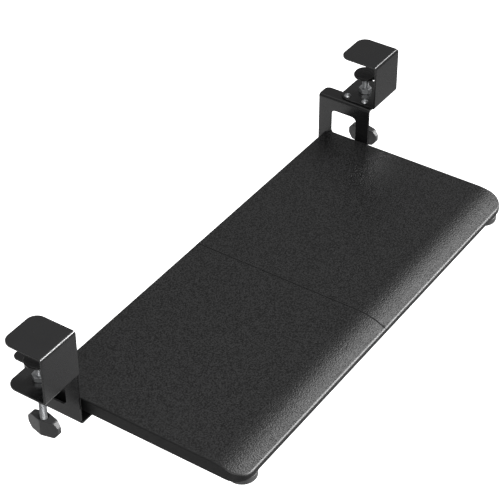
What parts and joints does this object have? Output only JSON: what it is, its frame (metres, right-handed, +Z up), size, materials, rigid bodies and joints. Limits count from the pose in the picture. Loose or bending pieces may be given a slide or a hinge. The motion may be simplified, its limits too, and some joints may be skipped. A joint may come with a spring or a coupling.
{
  "type": "keyboard tray under desk",
  "caption": "Clamp-on pull-out keyboard tray: a split black board with a rolled front edge slides on rails under bent steel C clamps with wing-knob screws.",
  "frame": {"origin": "midway between the clamps, level with the underside of their top pads, which is the top of the gripped panel, and at the back of their front plates, which is the panel's front edge", "axes": "+Z up, +Y away from the user, the way the tray is pushed in, +X to the user's right"},
  "size_m": [0.836, 0.3252, 0.161],
  "materials": {
    "black_coat": "satin black powder coat on steel",
    "laminate": "black laminate with a fine leather grain over fibreboard",
    "knob_plastic": "black moulded plastic, finely textured",
    "rubber": "matt black rubber",
    "zinc": "bright zinc plating",
    "nylon": "natural nylon",
    "dowel_wood": "plain beech"
  },
  "bodies": {
    "frame": {"clamp_left": "black_coat", "clamp_right": "black_coat", "jaw_pad_left": "rubber", "jaw_pad_right": "rubber", "clamp_nut_left": "zinc", "clamp_nut_right": "zinc", "hanger_left": "black_coat", "hanger_right": "black_coat", "hanger_bolts": "zinc", "hanger_nuts": "zinc", "glide_front_left": "nylon", "glide_front_right": "nylon", "glide_rear_left": "nylon", "glide_rear_right": "nylon", "glide_screws": "zinc"},
    "tray": {"tray_board_left": "laminate", "tray_board_right": "laminate", "joining_plate_front": "zinc", "joining_plate_rear": "zinc", "joining_screws": "zinc", "joining_dowels": "dowel_wood", "tray_rail_left": "black_coat", "tray_rail_right": "black_coat", "rail_screws": "zinc", "front_stop_left": "rubber", "front_stop_right": "rubber", "rear_stop_left": "knob_plastic", "rear_stop_right": "knob_plastic", "stop_screws": "zinc"},
    "pad_left": {"pressure_pad_left": "black_coat", "pad_face_left": "rubber"},
    "pad_right": {"pressure_pad_right": "black_coat", "pad_face_right": "rubber"},
    "screw_left": {"clamp_screw_left": "zinc", "knob_left": "knob_plastic"},
    "screw_right": {"clamp_screw_right": "zinc", "knob_right": "knob_plastic"}
  },
  "joints": [
    {"name": "tray_slide", "type": "slide", "parent": "frame", "child": "tray", "axis": [0, 1, 0], "range_m": [0, 0.1965]},
    {"name": "pad_left_lift", "type": "slide", "parent": "frame", "child": "pad_left", "axis": [0, 0, 1], "range_m": [-0.015, 0.0225]},
    {"name": "pad_right_lift", "type": "slide", "parent": "frame", "child": "pad_right", "axis": [0, 0, 1], "range_m": [-0.015, 0.0225]},
    {"name": "screw_left_turn", "type": "hinge", "parent": "pad_left", "child": "screw_left", "pos_m": [-0.3855, 0.03294, -0.05], "axis": [0, 0, 1], "range_deg": [-3601, 5401]},
    {"name": "screw_right_turn", "type": "hinge", "parent": "pad_right", "child": "screw_right", "pos_m": [0.3855, 0.03294, -0.05], "axis": [0, 0, 1], "range_deg": [-3601, 5401]}
  ],
  "couplings": [
    {"joint": "screw_left_turn", "follows": "pad_left_lift", "rad_per_m": 4188.8},
    {"joint": "screw_right_turn", "follows": "pad_right_lift", "rad_per_m": 4188.8}
  ]
}
